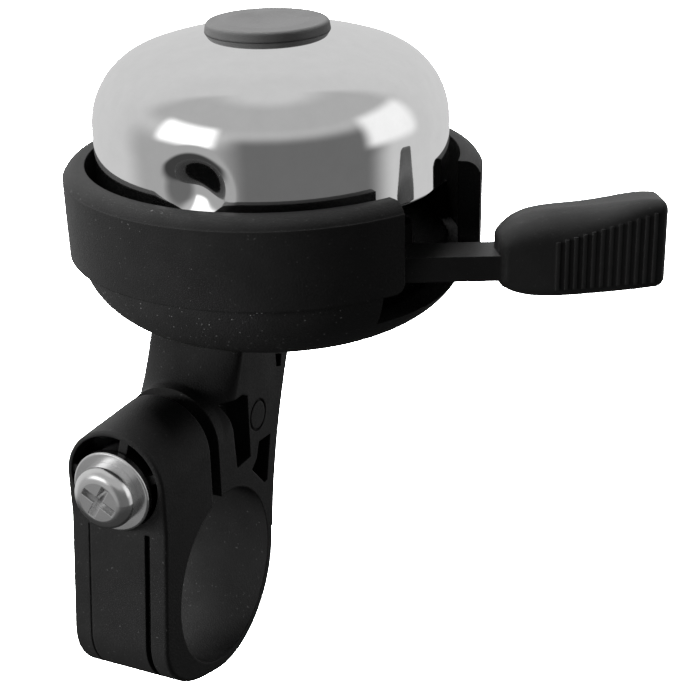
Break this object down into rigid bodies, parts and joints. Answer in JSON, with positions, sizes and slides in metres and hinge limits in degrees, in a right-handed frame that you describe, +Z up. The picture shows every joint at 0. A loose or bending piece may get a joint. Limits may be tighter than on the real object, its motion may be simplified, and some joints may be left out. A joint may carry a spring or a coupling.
{
  "type": "bicycle bell",
  "caption": "Handlebar bell with a chromed dome in a plastic guard ring, a sprung thumb lever, an inside striker and a screw clamp on an angled neck.",
  "frame": {"origin": "centre of the handlebar clamp's bore", "axes": "+X along the handlebar, +Y away from the clamp screw's head, +Z up along the bell's own axis"},
  "size_m": [0.0719, 0.0577, 0.0786],
  "materials": {
    "black_plastic": "black moulded plastic with a fine semi-matte texture",
    "chrome": "polished chrome plate on pressed steel",
    "zinc_steel": "bright zinc plate",
    "spring_steel": "plain spring steel",
    "rubber": "soft black rubber",
    "nylon": "natural nylon"
  },
  "bodies": {
    "base": {"bowl": "black_plastic", "guard_ring": "black_plastic", "clamp_bracket": "black_plastic", "fixing_screws": "zinc_steel", "clamp_screw": "zinc_steel", "clamp_washer": "zinc_steel", "clamp_nut": "zinc_steel", "centre_post": "zinc_steel", "thrust_washer": "zinc_steel", "lever_bush": "nylon", "lever_spring": "spring_steel", "spring_washer": "zinc_steel", "post_clip": "spring_steel", "stop_sleeves": "rubber", "dome_washer": "nylon", "dome": "chrome", "dome_screw": "zinc_steel", "dome_cap": "black_plastic"},
    "lever": {"thumb_lever": "black_plastic", "hammer_pin": "zinc_steel", "hammer_clip": "spring_steel", "hammer_leaves": "spring_steel"},
    "hammer": {"hammer_arm": "zinc_steel", "striker": "zinc_steel"}
  },
  "joints": [
    {"name": "lever_turn", "type": "hinge", "parent": "base", "child": "lever", "pos_m": [0.007, 0.016, 0.038], "axis": [0, 0, 1], "range_deg": [0, 10.5], "stiffness_Nm_per_rad": 0.12, "springref_deg": -14.32, "deforming": ["lever_spring"]},
    {"name": "hammer_swing", "type": "hinge", "parent": "lever", "child": "hammer", "pos_m": [0.01017, 0.00705, 0.039], "axis": [0, 0, 1], "range_deg": [-10, 6], "stiffness_Nm_per_rad": 0.02, "deforming": ["hammer_leaves"]}
  ]
}
